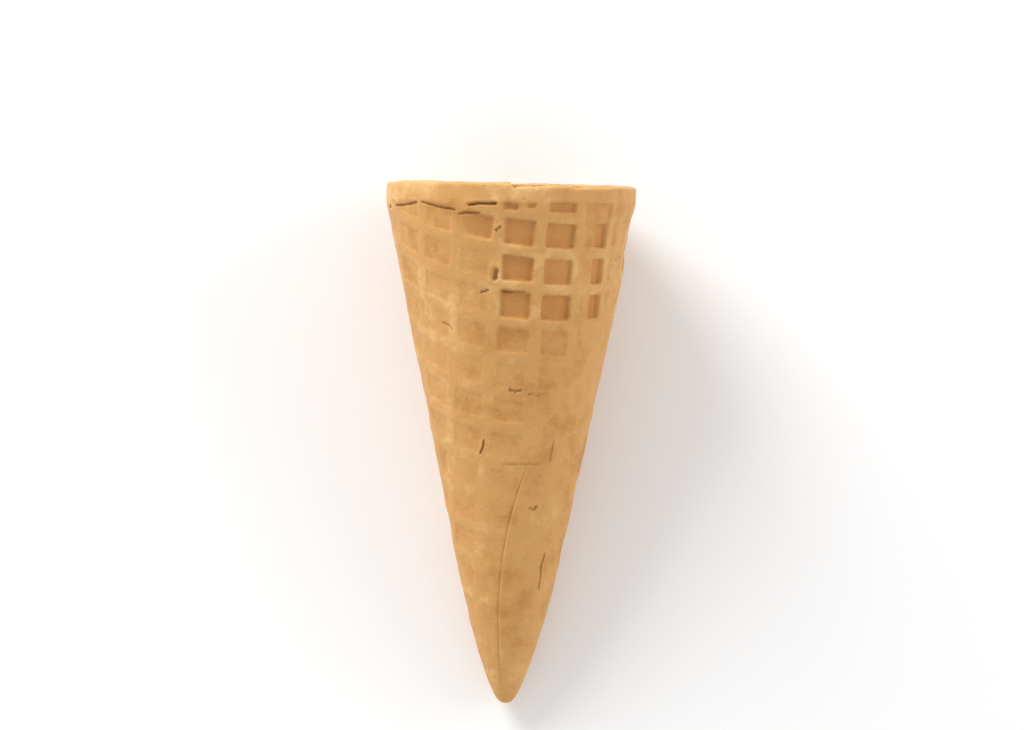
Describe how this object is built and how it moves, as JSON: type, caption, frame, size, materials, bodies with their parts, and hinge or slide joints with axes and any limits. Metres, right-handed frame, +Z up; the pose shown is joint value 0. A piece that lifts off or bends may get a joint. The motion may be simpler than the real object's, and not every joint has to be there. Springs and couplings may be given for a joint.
{
  "type": "rolled sugar cone",
  "caption": "Empty rolled wafer cone with a waffle pattern, a plain rim, a lapped seam and a closed tip, lying on its side.",
  "frame": {"origin": "on the resting surface, below the middle of the cone's bounding box", "axes": "+Y along the cone toward its open mouth, +Z up through the shown side, +X to the right of the shown side"},
  "size_m": [0.0536, 0.1156, 0.0529],
  "materials": {
    "baked_wafer": "matte, dry, finely porous baked wafer, tan with browner pockets"
  },
  "bodies": {
    "root": {"wafer_cone": "baked_wafer"}
  },
  "joints": []
}
